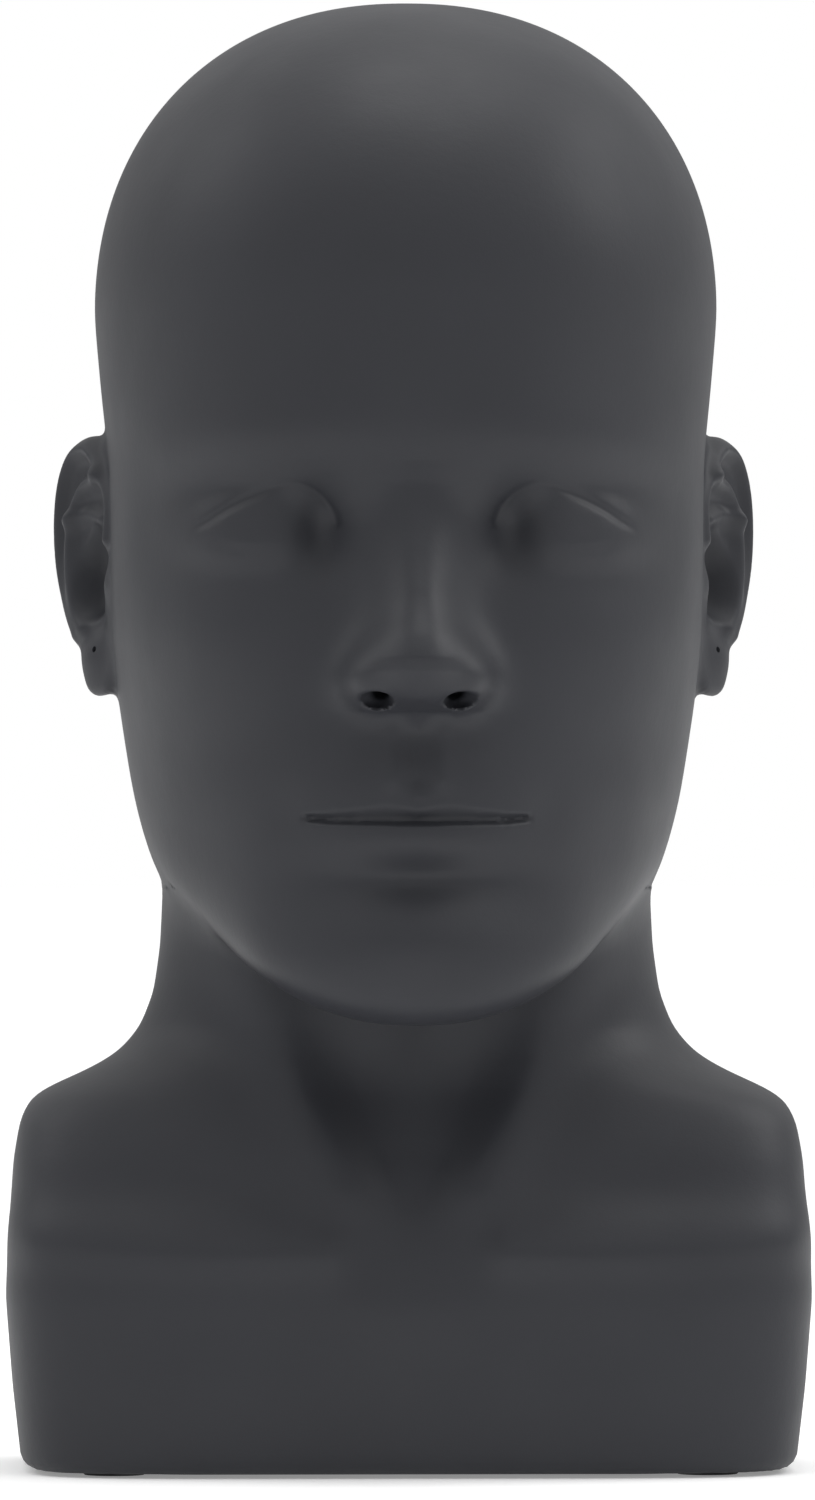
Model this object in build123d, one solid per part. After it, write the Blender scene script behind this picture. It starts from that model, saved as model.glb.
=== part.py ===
"""Mannequin training head: a hollow moulded head and shoulders on a weighted steel base with a stand socket.

Millimetres. +Z is up, the face looks along -Y and +X is the face's own left side. The origin lies on
the floor under the middle of the head's overall length and width.

The skin is one moulding with an even wall and a flange turned in around its open bottom. A steel base
plate closes that opening, flush with the flange, and is screwed up into four hardwood blocks that are
bonded across the joint inside. A cup-shaped socket for a stand's peg hangs in the plate's centre hole on
four machine screws with washers and nuts. The part stands on four rubber feet, set in moulded pockets.
"""

from build123d import *
import math
import os

os.makedirs("parts", exist_ok=True)

# ---- Driving dimensions -------------------------------------------------------------------------
HEIGHT = 380.0  # floor to crown
CROWN_START = 298.0  # height where the skull is widest and its dome begins
CROWN_POWER = 2.2  # roundness of the dome: 2 is an ellipse, more is squarer
WALL = 4.0  # moulded wall, and the thickness of the flange and the base plate
FLOOR_GAP = 0.8  # how far the feet hold the flange off the floor
EDGE_RADIUS = 4.0  # rounding of the skin's bottom edge
OUTLINE_POINTS = 28  # points on each section outline of the skin's outside
CAVITY_POINTS = 24  # and of its inside
NOSE_POINTS, EAR_POINTS = 16, 14

# Section rows: height, half width, foremost y, y of the widest point, rearmost y, squareness.
BUST_ROWS = [
    (FLOOR_GAP + EDGE_RADIUS, 100.0, -54.0, 7.0, 68.0, 5.0),
    (22.0, 102.2, -57.5, 7.0, 70.5, 5.0),
    (45.0, 104.0, -59.0, 8.0, 73.0, 5.0),
    (65.0, 103.0, -56.5, 8.0, 74.0, 5.0),
    (80.0, 102.0, -50.5, 9.0, 73.5, 4.8),
    (90.0, 100.3, -46.0, 10.0, 71.5, 4.5),
    (96.0, 97.2, -43.5, 11.0, 69.5, 4.1),
    (99.0, 91.5, -42.5, 11.5, 68.0, 3.7),
    (102.2, 83.6, -42.0, 12.0, 66.5, 3.2),
    (107.3, 74.8, -42.0, 12.0, 65.0, 2.7),
    (114.0, 69.2, -43.0, 12.0, 63.5, 2.4),
    (123.0, 65.7, -44.5, 12.0, 62.5, 2.3),
    (135.0, 64.0, -47.0, 12.0, 63.0, 2.2),
    (150.0, 63.3, -49.0, 13.0, 65.0, 2.2),
    (165.0, 64.0, -50.0, 14.0, 70.0, 2.2),
    (185.0, 66.0, -50.0, 15.0, 78.0, 2.2),
]
HEAD_ROWS = [
    (116.6, 12.8, -92.0, -83.0, -74.0, 2.0),
    (120.5, 26.0, -96.0, -76.0, -61.0, 2.0),
    (129.5, 41.0, -99.0, -60.0, -42.0, 2.0),
    (137.8, 48.5, -99.0, -40.0, -19.0, 2.0),
    (145.0, 56.0, -96.5, -20.0, 5.0, 2.0),
    (153.8, 64.5, -94.0, -4.0, 31.0, 2.0),
    (164.0, 68.4, -95.0, 5.0, 53.0, 2.0),
    (174.0, 70.9, -95.0, 8.0, 68.0, 2.05),
    (186.0, 72.9, -91.5, 10.0, 81.0, 2.1),
    (200.0, 75.0, -89.0, 11.0, 93.0, 2.2),
    (215.0, 76.4, -87.0, 12.0, 102.0, 2.3),
    (232.0, 76.9, -85.0, 14.0, 108.5, 2.4),
    (248.0, 77.0, -86.0, 16.0, 112.0, 2.4),
    (262.0, 77.4, -91.5, 19.0, 113.4, 2.35),
    (278.0, 79.2, -93.0, 21.0, 113.8, 2.25),
    (CROWN_START, 81.0, -91.5, 22.0, 113.0, CROWN_POWER),
]
CHIN_POLE = (0.0, -84.0, 115.6)
CAVITY_CHIN = 144.0  # height of the cavity's floor in the chin
DOME_STEPS = (6, 12, 18, 24, 31, 38, 45, 52, 59, 66, 73, 80, 86)  # degrees up the dome of its sections
EDGE_STEPS = (67.5, 45, 22.5, 0)  # degrees round the bottom edge of its sections
BAND = 9.0  # greatest height of one band of the skin's outside

NOSE_ROWS = [
    (188.0, 9.0, -97.0),
    (192.5, 15.0, -104.0),
    (198.0, 17.8, -109.5),
    (206.0, 15.5, -113.8),
    (214.0, 11.5, -110.5),
    (226.0, 9.0, -102.0),
    (240.0, 8.0, -93.0),
    (252.0, 9.0, -88.5),
]
NOSE_ROOT_Y = -70.0  # buried inside the face
NOSE_POLES = ((0.0, -82.0, 186.0), (0.0, -80.0, 258.0))

# Ear rows lie in the ear's own frame: up the ear, half thickness, then its front, middle and rear edges.
EAR_ROWS = [
    (-30.5, 2.0, 0.5, 5.5, 10.5, 2.0),
    (-22.0, 3.2, -1.0, 7.0, 15.0, 2.0),
    (-10.0, 4.0, -1.5, 11.0, 24.0, 2.0),
    (3.0, 4.4, -1.0, 14.0, 30.0, 2.0),
    (14.0, 4.4, 0.0, 15.0, 31.5, 2.0),
    (24.0, 3.9, 1.5, 15.5, 30.0, 2.0),
    (30.0, 2.7, 6.0, 16.0, 25.5, 2.0),
]
EAR_POLES = ((0.0, 5.5, -33.0), (0.0, 16.0, 33.0))
BOWL_ROWS = [
    (-11.0, 3.0, 5.0, 9.0, 14.0, 2.0),
    (-3.0, 4.6, 3.0, 12.0, 21.0, 2.0),
    (8.0, 4.6, 4.0, 15.0, 25.0, 2.0),
    (18.0, 3.6, 7.0, 16.0, 25.0, 2.0),
]
BOWL_POLES = ((0.0, 9.0, -15.0), (0.0, 16.0, 25.0))
BOWL_SHIFT = 5.0  # outwards, from the middle of the ear's thickness
EAR_PLACE = (75.5, 8.0, 234.0)
EAR_FLARE = 27.0  # degrees that the rear edge stands out
EAR_LEAN = 9.0  # degrees that the top leans back
PIERCING_RADIUS = 0.8
PIERCING_REACH = 40.0  # length of the cut, well through the lobe
PIERCING_PLACE = (8.5, -22.5)  # along the ear and up

OPENING = (140.0, 72.0, 16.0)  # width, depth and corner radius of the skin's bottom opening
BASE_Y = 7.0  # y of the middle of the base
PLATE_GAP = 0.3

BLOCK = (32.0, 26.0, 18.0)
BLOCK_CHAMFER = 2.0
BLOCK_PLACE = (64.0, 31.0)  # of each block's middle, from the middle of the base
BASE_SCREW_PLACE = (58.0, 26.0)
BASE_SCREW_RADIUS, BASE_SCREW_HEAD_RADIUS, BASE_SCREW_LENGTH = 2.1, 4.1, 18.0
BASE_SCREW_TIP, SCREW_POINT_RADIUS = 3.0, 0.3  # height of a screw's pointed end, and its radius there

SOCKET_BORE_RADIUS = 12.7
SOCKET_BORE_DEPTH = 60.0
SOCKET_OUTER_RADIUS = 17.0
SOCKET_FLANGE = (29.0, 4.0)  # radius and thickness
SOCKET_CAP = 5.0  # thickness of the closed end
SOCKET_LEAD_IN = 1.0
SOCKET_END_RADIUS = 3.0  # rounding of the closed end
SOCKET_RIBS, SOCKET_RIB_THICKNESS, SOCKET_RIB_HEIGHT = 4, 3.0, 24.0
RIB_OVERLAP = 1.0  # how deep a rib is rooted in the cup's wall
SOCKET_SCREW_CIRCLE = 23.0  # radius of the circle that the socket's screws lie on
SOCKET_SCREW_RADIUS, SOCKET_SCREW_HEAD_RADIUS, SOCKET_SCREW_LENGTH = 2.0, 3.9, 14.0
WASHER = (4.5, 0.8)
NUT = (7.0, 3.2)  # across flats, and height
SCREW_FIT = 0.15  # radial clearance of a screw in its plain hole
CROSS_SLOT = (3.4, 0.8, 1.2)  # length, width and depth of a screw's cross recess

FOOT_RADIUS, FOOT_THICKNESS = 8.0, 1.8
FOOT_POCKET_GAP = 0.2
FOOT_CHAMFER = 0.4
FOOT_PLACE = (76.0, 40.0)

PLATE_TOP = FLOOR_GAP + WALL
UP = (Align.CENTER, Align.CENTER, Align.MIN)  # stands a primitive on its place
CORNERS = [(sx, sy) for sx in (-1, 1) for sy in (-1, 1)]


# ---- Helpers ------------------------------------------------------------------------------------
def outline(row, points):
    """Closed smooth section outline of a row, a superellipse with its own depth in front and behind."""
    z, half_width, front, middle, back, power = row
    places = []
    for step in range(points):
        turn = 2 * math.pi * step / points
        across, along = math.cos(turn), math.sin(turn)
        depth = middle - front if along < 0 else back - middle
        reach = ((abs(across) / half_width) ** power + (abs(along) / depth) ** power) ** (-1 / power)
        places.append((reach * across, middle + reach * along, z))
    return Wire([Edge.make_spline(places, periodic=True)])


def inset(row, amount):
    """The same section row, smaller all round by amount."""
    z, half_width, front, middle, back, power = row
    return (z, half_width - amount, front + amount, middle, back - amount, power)


def slopes(heights, values):
    """Slope of a smooth curve at each of its points, with no overshoot between them."""
    steps = [(v1 - v0) / (z1 - z0) for z0, z1, v0, v1 in zip(heights, heights[1:], values, values[1:])]
    inner = [2 * a * b / (a + b) if a * b > 0 else 0.0 for a, b in zip(steps, steps[1:])]
    return [steps[0], *inner, steps[-1]]


def filled_in(rows):
    """The rows with smooth rows between them, no more than BAND apart in height."""
    heights = [row[0] for row in rows]
    columns = list(zip(*rows))[1:]
    tilts = [slopes(heights, column) for column in columns]
    filled = []
    for index, (low, high) in enumerate(zip(heights, heights[1:])):
        rise = high - low
        count = math.ceil(rise / BAND)
        for step in range(count):
            t = step / count
            ends = (1 + 2 * t) * (1 - t) ** 2
            values = [
                ends * column[index]
                + (1 - ends) * column[index + 1]
                + t * (1 - t) * rise * ((1 - t) * tilt[index] - t * tilt[index + 1])
                for column, tilt in zip(columns, tilts)
            ]
            filled.append((low + t * rise, *values))
    return [*filled, rows[-1]]


def banded_solid(rows, points, bottom=None, top=None):
    """Solid of ruled bands through the rows, closed by a point or a flat face at each end."""
    ends = ([Vertex(*bottom)] if bottom else [], [Vertex(*top)] if top else [])
    sections = [outline(row, points) for row in rows]
    return Solid.make_loft([*ends[0], *sections, *ends[1]], ruled=True)


def dome_rows(start, top):
    """Section rows of the crown, from the widest row up to just under the top."""
    z, half_width, front, middle, back, power = start
    rows = []
    for degrees in DOME_STEPS:
        rise = math.sin(math.radians(degrees))
        share = (1 - rise**CROWN_POWER) ** (1 / CROWN_POWER)
        rows.append(
            (
                z + (top - z) * rise,
                half_width * share,
                middle - (middle - front) * share,
                middle,
                middle + (back - middle) * share,
                power,
            )
        )
    return rows


def at_base(x, y, z=0.0):
    """A place given from the middle of the base."""
    return Pos(x, BASE_Y + y, z)


# ---- Skin ---------------------------------------------------------------------------------------
def bust_body():
    """Neck and shoulders, from the rounded bottom edge up into the head."""
    rows = filled_in(BUST_ROWS)
    z, *section = BUST_ROWS[0]
    for degrees in EDGE_STEPS:
        turn = math.radians(degrees)
        low_row = (z - EDGE_RADIUS * math.cos(turn), *section)
        rows.insert(0, inset(low_row, EDGE_RADIUS * (1 - math.sin(turn))))
    return banded_solid(rows, OUTLINE_POINTS)


def bust_cavity():
    """Hollow of the neck and shoulders, one wall inside them."""
    return banded_solid([inset(row, WALL) for row in BUST_ROWS], CAVITY_POINTS)


def skull_body():
    """Head without nose and ears."""
    rows = filled_in(HEAD_ROWS) + dome_rows(HEAD_ROWS[-1], HEIGHT)
    crown = (0.0, HEAD_ROWS[-1][3], HEIGHT)
    return banded_solid(rows, OUTLINE_POINTS, CHIN_POLE, crown)


def skull_cavity():
    """Hollow of the head, one wall inside it."""
    rows = [inset(row, WALL) for row in HEAD_ROWS if row[0] > CAVITY_CHIN]
    rows += dome_rows(rows[-1], HEIGHT - WALL)[::2]
    crown = (0.0, HEAD_ROWS[-1][3], HEIGHT - WALL)
    return banded_solid(rows, CAVITY_POINTS, top=crown)


def nose_body():
    """Nose, a loft of rounded sections rooted inside the face."""
    sections = []
    for z, half_width, front in NOSE_ROWS:
        middle = (front + NOSE_ROOT_Y) / 2
        sections.append(outline((z, half_width, front, middle, NOSE_ROOT_Y, 2.0), NOSE_POINTS))
    return Solid.make_loft([Vertex(*NOSE_POLES[0]), *sections, Vertex(*NOSE_POLES[1])])


def ear_body(side):
    """One ear, a thin leaf with a hollow bowl and a pierced lobe. side is -1 or +1 along X."""
    leaf = banded_solid(EAR_ROWS, EAR_POINTS, *EAR_POLES)
    leaf -= Pos(side * BOWL_SHIFT, 0, 0) * banded_solid(BOWL_ROWS, EAR_POINTS, *BOWL_POLES)
    leaf -= Pos(0, *PIERCING_PLACE) * Rot(0, 90, 0) * Cylinder(PIERCING_RADIUS, PIERCING_REACH)
    x, y, z = EAR_PLACE
    return Pos(side * x, y, z) * Rot(0, 0, -side * EAR_FLARE) * Rot(-EAR_LEAN, 0, 0) * leaf


def head_shell():
    """The one-piece moulded skin."""
    outer = skull_body() + bust_body() + nose_body()
    for side in (-1, 1):
        outer += ear_body(side)
    cavity = skull_cavity() + bust_cavity()
    shell = outer - cavity
    width, depth, corner = OPENING
    shell -= at_base(0, 0) * extrude(RectangleRounded(width, depth, corner), PLATE_TOP)
    for sx, sy in CORNERS:
        pocket = Cylinder(FOOT_RADIUS + FOOT_POCKET_GAP, FOOT_THICKNESS, align=UP)
        shell -= at_base(sx * FOOT_PLACE[0], sy * FOOT_PLACE[1]) * pocket
    return shell


# ---- Fasteners ----------------------------------------------------------------------------------

def countersunk_screw(radius, head_radius, length, tip):
    """Screw standing on its head, with a cross recess. tip is the height of its pointed end, or 0."""
    head_height = head_radius - radius
    screw = Cone(head_radius, radius, head_height, align=UP)
    screw += Pos(0, 0, head_height) * Cylinder(radius, length - head_height - tip, align=UP)
    if tip:
        screw += Pos(0, 0, length - tip) * Cone(radius, SCREW_POINT_RADIUS, tip, align=UP)
    slot_length, slot_width, slot_depth = CROSS_SLOT
    for turn in (0, 90):
        screw -= Rot(0, 0, turn) * Box(slot_length, slot_width, slot_depth, align=UP)
    return screw


def countersunk_hole(radius, head_radius, depth):
    """The clearance that a countersunk screw's hole takes out of a plate of this depth."""
    wide, narrow = head_radius + SCREW_FIT, radius + SCREW_FIT
    return Cone(wide, narrow, wide - narrow, align=UP) + Cylinder(narrow, depth, align=UP)


def socket_screw_places():
    """Places of the socket's four screws, from the middle of the base."""
    turns = [math.radians(45 + 90 * step) for step in range(4)]  # between the ribs
    return [(SOCKET_SCREW_CIRCLE * math.cos(t), SOCKET_SCREW_CIRCLE * math.sin(t)) for t in turns]


def base_screws():
    """Four self-tapping screws from below, through the base plate into the blocks."""
    screw = countersunk_screw(
        BASE_SCREW_RADIUS, BASE_SCREW_HEAD_RADIUS, BASE_SCREW_LENGTH, BASE_SCREW_TIP
    )
    x, y = BASE_SCREW_PLACE
    return Compound([at_base(sx * x, sy * y, FLOOR_GAP) * screw for sx, sy in CORNERS])


def socket_screws():
    """Four machine screws from below, through the base plate and the socket's flange."""
    screw = countersunk_screw(SOCKET_SCREW_RADIUS, SOCKET_SCREW_HEAD_RADIUS, SOCKET_SCREW_LENGTH, 0.0)
    return Compound([at_base(x, y, FLOOR_GAP) * screw for x, y in socket_screw_places()])


def socket_washers():
    """Plain washers between the socket's flange and the nuts."""
    radius, thickness = WASHER
    washer = Cylinder(radius, thickness, align=UP) - Cylinder(
        SOCKET_SCREW_RADIUS + SCREW_FIT, thickness, align=UP
    )
    z = PLATE_TOP + SOCKET_FLANGE[1]
    return Compound([at_base(x, y, z) * washer for x, y in socket_screw_places()])


def socket_nuts():
    """Hexagon nuts on the socket's screws."""
    flats, height = NUT
    blank = extrude(RegularPolygon(flats / 2, 6, major_radius=False), height)
    nut = blank - Cylinder(SOCKET_SCREW_RADIUS, height, align=UP)
    z = PLATE_TOP + SOCKET_FLANGE[1] + WASHER[1]
    return Compound([at_base(x, y, z) * nut for x, y in socket_screw_places()])


# ---- Base ---------------------------------------------------------------------------------------
def base_plate():
    """Steel plate that closes the opening, flush with the flange, and weighs the part down."""
    width, depth, corner = OPENING
    size = RectangleRounded(width - 2 * PLATE_GAP, depth - 2 * PLATE_GAP, corner - PLATE_GAP)
    plate = extrude(size, WALL)
    plate -= Cylinder(SOCKET_OUTER_RADIUS + SCREW_FIT, WALL, align=UP)
    base_hole = countersunk_hole(BASE_SCREW_RADIUS, BASE_SCREW_HEAD_RADIUS, WALL)
    for sx, sy in CORNERS:
        plate -= Pos(sx * BASE_SCREW_PLACE[0], sy * BASE_SCREW_PLACE[1]) * base_hole
    socket_hole = countersunk_hole(SOCKET_SCREW_RADIUS, SOCKET_SCREW_HEAD_RADIUS, WALL)
    for x, y in socket_screw_places():
        plate -= Pos(x, y) * socket_hole
    return at_base(0, 0, FLOOR_GAP) * plate


def mounting_block(sx, sy):
    """Hardwood block bonded across the joint between flange and plate, drilled for its screw."""
    width, depth, height = BLOCK
    block = Pos(sx * BLOCK_PLACE[0], sy * BLOCK_PLACE[1]) * Box(width, depth, height, align=UP)
    block = chamfer(block.edges().group_by(Axis.Z)[-1], BLOCK_CHAMFER)
    hole = Cylinder(BASE_SCREW_RADIUS, BASE_SCREW_LENGTH - WALL, align=UP)
    block -= Pos(sx * BASE_SCREW_PLACE[0], sy * BASE_SCREW_PLACE[1]) * hole
    return at_base(0, 0, PLATE_TOP) * block


def stand_socket():
    """Closed cup that takes a stand's or table clamp's peg, with a flange and ribs."""
    total = SOCKET_BORE_DEPTH + SOCKET_CAP
    flange_radius, flange_thickness = SOCKET_FLANGE
    cup = Cylinder(SOCKET_OUTER_RADIUS, total, align=UP)
    cup = fillet(cup.edges().group_by(Axis.Z)[-1], SOCKET_END_RADIUS)
    cup += Pos(0, 0, WALL) * Cylinder(flange_radius, flange_thickness, align=UP)
    root = SOCKET_OUTER_RADIUS - RIB_OVERLAP
    rib = Polyline((root, 0), (flange_radius - RIB_OVERLAP, 0), (root, SOCKET_RIB_HEIGHT), close=True)
    web = extrude(Plane.XZ * make_face(rib), SOCKET_RIB_THICKNESS / 2, both=True)
    for step in range(SOCKET_RIBS):
        cup += Rot(0, 0, 360 / SOCKET_RIBS * step) * Pos(0, 0, WALL + flange_thickness) * web
    cup -= Cylinder(SOCKET_BORE_RADIUS, SOCKET_BORE_DEPTH, align=UP)
    cup -= Cone(
        SOCKET_BORE_RADIUS + SOCKET_LEAD_IN, SOCKET_BORE_RADIUS, SOCKET_LEAD_IN, align=UP
    )
    for x, y in socket_screw_places():
        cup -= Pos(x, y) * Cylinder(SOCKET_SCREW_RADIUS + SCREW_FIT, WALL + flange_thickness, align=UP)
    return at_base(0, 0, FLOOR_GAP) * cup


def foot(sx, sy):
    """Round rubber pad in its pocket under one corner."""
    pad = Cylinder(FOOT_RADIUS, FOOT_THICKNESS, align=UP)
    pad = chamfer(pad.edges().group_by(Axis.Z)[0], FOOT_CHAMFER)
    return at_base(sx * FOOT_PLACE[0], sy * FOOT_PLACE[1]) * pad


# ---- Sub-parts ----------------------------------------------------------------------------------
SIDE_NAMES = {-1: "right", 1: "left"}
END_NAMES = {-1: "front", 1: "rear"}

pieces = {
    "head_shell": head_shell(),
    "base_plate": base_plate(),
    "stand_socket": stand_socket(),
    "base_screws": base_screws(),
    "socket_screws": socket_screws(),
    "socket_washers": socket_washers(),
    "socket_nuts": socket_nuts(),
}
for sx, sy in CORNERS:
    corner_name = f"{END_NAMES[sy]}_{SIDE_NAMES[sx]}"
    pieces[f"mounting_block_{corner_name}"] = mounting_block(sx, sy)
    pieces[f"rubber_foot_{corner_name}"] = foot(sx, sy)

for name, shape in pieces.items():
    export_step(shape, f"parts/{name}.step")
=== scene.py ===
"""Looks of the mannequin training head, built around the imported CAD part.

The skin is sculpted as one smooth field (negative inside, in millimetres), which is turned into a
mesh, refined where it bends, and hollowed. It replaces the plain CAD shell. Every other CAD part
stays and gets its own procedural material.
"""

import math

import bmesh
import bpy
import numpy as np
from mathutils import Matrix, Vector


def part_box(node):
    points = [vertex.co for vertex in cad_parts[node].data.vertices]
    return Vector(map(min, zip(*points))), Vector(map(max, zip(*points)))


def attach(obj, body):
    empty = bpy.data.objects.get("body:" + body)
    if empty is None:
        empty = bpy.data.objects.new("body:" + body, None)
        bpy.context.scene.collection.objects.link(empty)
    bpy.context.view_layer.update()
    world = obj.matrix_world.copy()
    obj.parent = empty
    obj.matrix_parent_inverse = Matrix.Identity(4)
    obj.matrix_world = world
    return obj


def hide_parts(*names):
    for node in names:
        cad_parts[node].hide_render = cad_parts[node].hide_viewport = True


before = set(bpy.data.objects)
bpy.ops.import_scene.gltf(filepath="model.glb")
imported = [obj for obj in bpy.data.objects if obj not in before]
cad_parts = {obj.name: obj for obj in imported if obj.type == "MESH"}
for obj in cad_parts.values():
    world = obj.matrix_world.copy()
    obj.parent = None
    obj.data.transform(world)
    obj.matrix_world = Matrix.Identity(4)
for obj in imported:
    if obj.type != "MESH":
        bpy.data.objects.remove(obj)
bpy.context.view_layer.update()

MM = 0.001

# ---- Sculpting settings, in millimetres ----------------------------------------------------------
VOXEL = 2.35
HOLLOW_VOXEL = 6.0
COARSE = 5  # fine voxels along one coarse block
NEAR_BLOCKS = 2.2  # blocks this close to the surface are worked out in full
BATCH = 200000  # places worked out at a time
REFINE_PASSES = [(9.0, 0.9), (13.0, 0.5)]  # bend in degrees, and shortest edge that is still split
PLAIN_FOOT = 12.0  # height of the skin's lowest part, which is never refined
LONGEST_STEP = 1.5  # of a point on its way to the surface
SHARP_ANGLE = 50  # in degrees: edges that bend more stay sharp
TINY = 1e-9
FLOOR_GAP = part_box("base_plate")[0][2] / MM
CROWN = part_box("head_shell")[1][2] / MM
CROWN_START = 298.0
CHIN_START = 150.0
CHIN_LOWEST = 115.6
CLOSE_POWER = 2.2  # roundness of the crown and of the chin's underside
NECK_TOP = 188.0  # the neck ends here, inside the head
WALL = 4.0
EDGE_RADIUS = 4.0
OPENING = (140.0, 72.0, 16.0)  # width, depth and corner radius of the skin's bottom opening
BASE_Y = 7.0  # y of the middle of the base
FOOT_PLACE = (76.0, 40.0)  # of each foot, from the middle of the base
POCKET_RADIUS, POCKET_TOP = 8.2, 1.8
CUT_PAST = 5.0  # how far a cutting prism reaches past what it cuts
ARC_STEPS = 13  # points on each corner of the opening
POCKET_SIDES, PIERCING_SIDES = 48, 24

# Sections: height, half width, foremost y, y of the widest point, rearmost y, squareness.
BUST_ROWS = [
    (FLOOR_GAP, 99.8, -53.5, 7.0, 67.8, 5.0),
    (22.0, 102.2, -57.5, 7.0, 70.5, 5.0),
    (45.0, 104.0, -59.0, 8.0, 73.0, 5.0),
    (65.0, 103.0, -56.5, 8.0, 74.0, 5.0),
    (80.0, 102.0, -50.5, 9.0, 73.5, 4.8),
    (90.0, 100.3, -46.0, 10.0, 71.5, 4.5),
    (96.0, 97.2, -43.5, 11.0, 69.5, 4.1),
    (99.0, 91.5, -42.5, 11.5, 68.0, 3.7),
    (102.2, 83.6, -42.0, 12.0, 66.5, 3.2),
    (107.3, 74.8, -42.0, 12.0, 65.0, 2.7),
    (114.0, 69.2, -43.0, 12.0, 63.5, 2.4),
    (123.0, 65.7, -44.5, 12.0, 62.5, 2.3),
    (135.0, 64.0, -47.0, 12.0, 63.0, 2.2),
    (150.0, 63.3, -49.0, 13.0, 65.0, 2.2),
    (165.0, 64.0, -50.0, 14.0, 70.0, 2.2),
    (185.0, 66.0, -50.0, 15.0, 78.0, 2.2),
]
HEAD_ROWS = [
    (118.5, 20.0, -94.5, -80.0, -66.0, 2.0),
    (120.5, 26.0, -96.0, -76.0, -61.0, 2.0),
    (129.5, 41.0, -98.0, -60.0, -42.0, 2.0),
    (137.8, 48.5, -97.5, -40.0, -19.0, 2.0),
    (145.0, 56.0, -94.5, -20.0, 5.0, 2.0),
    (153.8, 64.5, -93.0, -4.0, 31.0, 2.0),
    (164.0, 68.4, -94.0, 5.0, 53.0, 2.0),
    (174.0, 70.9, -93.5, 8.0, 68.0, 2.05),
    (186.0, 72.9, -91.0, 10.0, 81.0, 2.1),
    (200.0, 75.0, -89.0, 11.0, 93.0, 2.2),
    (215.0, 76.4, -87.0, 12.0, 102.0, 2.3),
    (232.0, 76.9, -85.5, 14.0, 108.5, 2.4),
    (248.0, 77.0, -87.0, 16.0, 112.0, 2.4),
    (262.0, 77.4, -92.0, 19.0, 113.4, 2.35),
    (278.0, 79.2, -92.4, 21.0, 113.8, 2.25),
    (298.0, 81.0, -91.5, 22.0, 113.0, 2.2),
]


# ---- Field tools --------------------------------------------------------------------------------
def smooth_join(a, b, width):
    """Union of two fields with a fillet about as wide as width."""
    share = np.clip(0.5 + 0.5 * (b - a) / width, 0.0, 1.0)
    return b * (1 - share) + a * share - width * share * (1 - share)


def smooth_cut(a, b, width):
    """Field a with field b taken away, with a rounded edge."""
    return -smooth_join(-a, b, width)


def bell(distance, width):
    """1 at distance 0, falling smoothly to 0 a few widths away."""
    return np.exp(-((distance / width) ** 2))


def ramp(value, start, end):
    """0 before start, 1 after end, smooth between."""
    t = np.clip((value - start) / (end - start), 0.0, 1.0)
    return t * t * (3 - 2 * t)


def ball(points, centre, radii):
    """Field of an ellipsoid, close to a true distance near its surface."""
    scaled = (points - np.array(centre)) / np.array(radii)
    length = np.linalg.norm(scaled, axis=1) + TINY
    slope = np.linalg.norm(scaled / np.array(radii), axis=1) + TINY
    return length * (length - 1.0) / slope


def rod(points, start, end, radius_start, radius_end):
    """Field of a tapered rod with round ends."""
    start, end = np.array(start, float), np.array(end, float)
    along = end - start
    t = np.clip((points - start) @ along / (along @ along), 0.0, 1.0)
    gap = np.linalg.norm(points - start - t[:, None] * along, axis=1)
    return gap - (radius_start + (radius_end - radius_start) * t)


def path_distance(points, path):
    """Distance from each point to a path of straight runs, and the share of the path there."""
    path = np.array(path, float)
    lengths = np.linalg.norm(np.diff(path, axis=0), axis=1)
    reached = np.concatenate([[0.0], np.cumsum(lengths)])
    best = np.full(len(points), np.inf)
    share = np.zeros(len(points))
    for i, (a, b) in enumerate(zip(path, path[1:])):
        run = b - a
        t = np.clip((points - a) @ run / (run @ run), 0.0, 1.0)
        gap = np.linalg.norm(points - a - t[:, None] * run, axis=1)
        nearer = gap < best
        best = np.where(nearer, gap, best)
        share = np.where(nearer, (reached[i] + t * lengths[i]) / reached[-1], share)
    return best, share


def rounded(path, steps=6):
    """A smooth path through given points (Catmull-Rom)."""
    path = np.array(path, float)
    padded = np.vstack([2 * path[0] - path[1], path, 2 * path[-1] - path[-2]])
    out = []
    for i in range(1, len(padded) - 2):
        p0, p1, p2, p3 = padded[i - 1:i + 3]
        for t in np.arange(steps) / steps:
            out.append(0.5 * (2 * p1 + (p2 - p0) * t + (2 * p0 - 5 * p1 + 4 * p2 - p3) * t ** 2
                              + (3 * p1 - p0 - 3 * p2 + p3) * t ** 3))
    out.append(path[-1])
    return np.array(out)


def outline_field(points, path):
    """Signed distance in a plane to a closed outline, negative inside."""
    path = np.array(path, float)
    closed = np.vstack([path, path[:1]])
    gap, _ = path_distance(points, closed)
    inside = np.zeros(len(points), bool)
    for a, b in zip(closed, closed[1:]):
        crosses = (a[1] > points[:, 1]) != (b[1] > points[:, 1])
        run = b[1] - a[1] if b[1] != a[1] else TINY
        at = a[0] + (points[:, 1] - a[1]) * (b[0] - a[0]) / run
        inside ^= crosses & (points[:, 0] < at)
    return np.where(inside, -gap, gap)


def forms_relief(forms, across, up):
    """How far soft forms stand out. A form is its height (negative for a hollow), the middle and the
    spread across, and the middle and the spread in height."""
    relief = np.zeros(len(across))
    for height, middle, spread, level, rise in forms.values():
        relief += height * bell(across - middle, spread) * bell(up - level, rise)
    return relief


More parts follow.
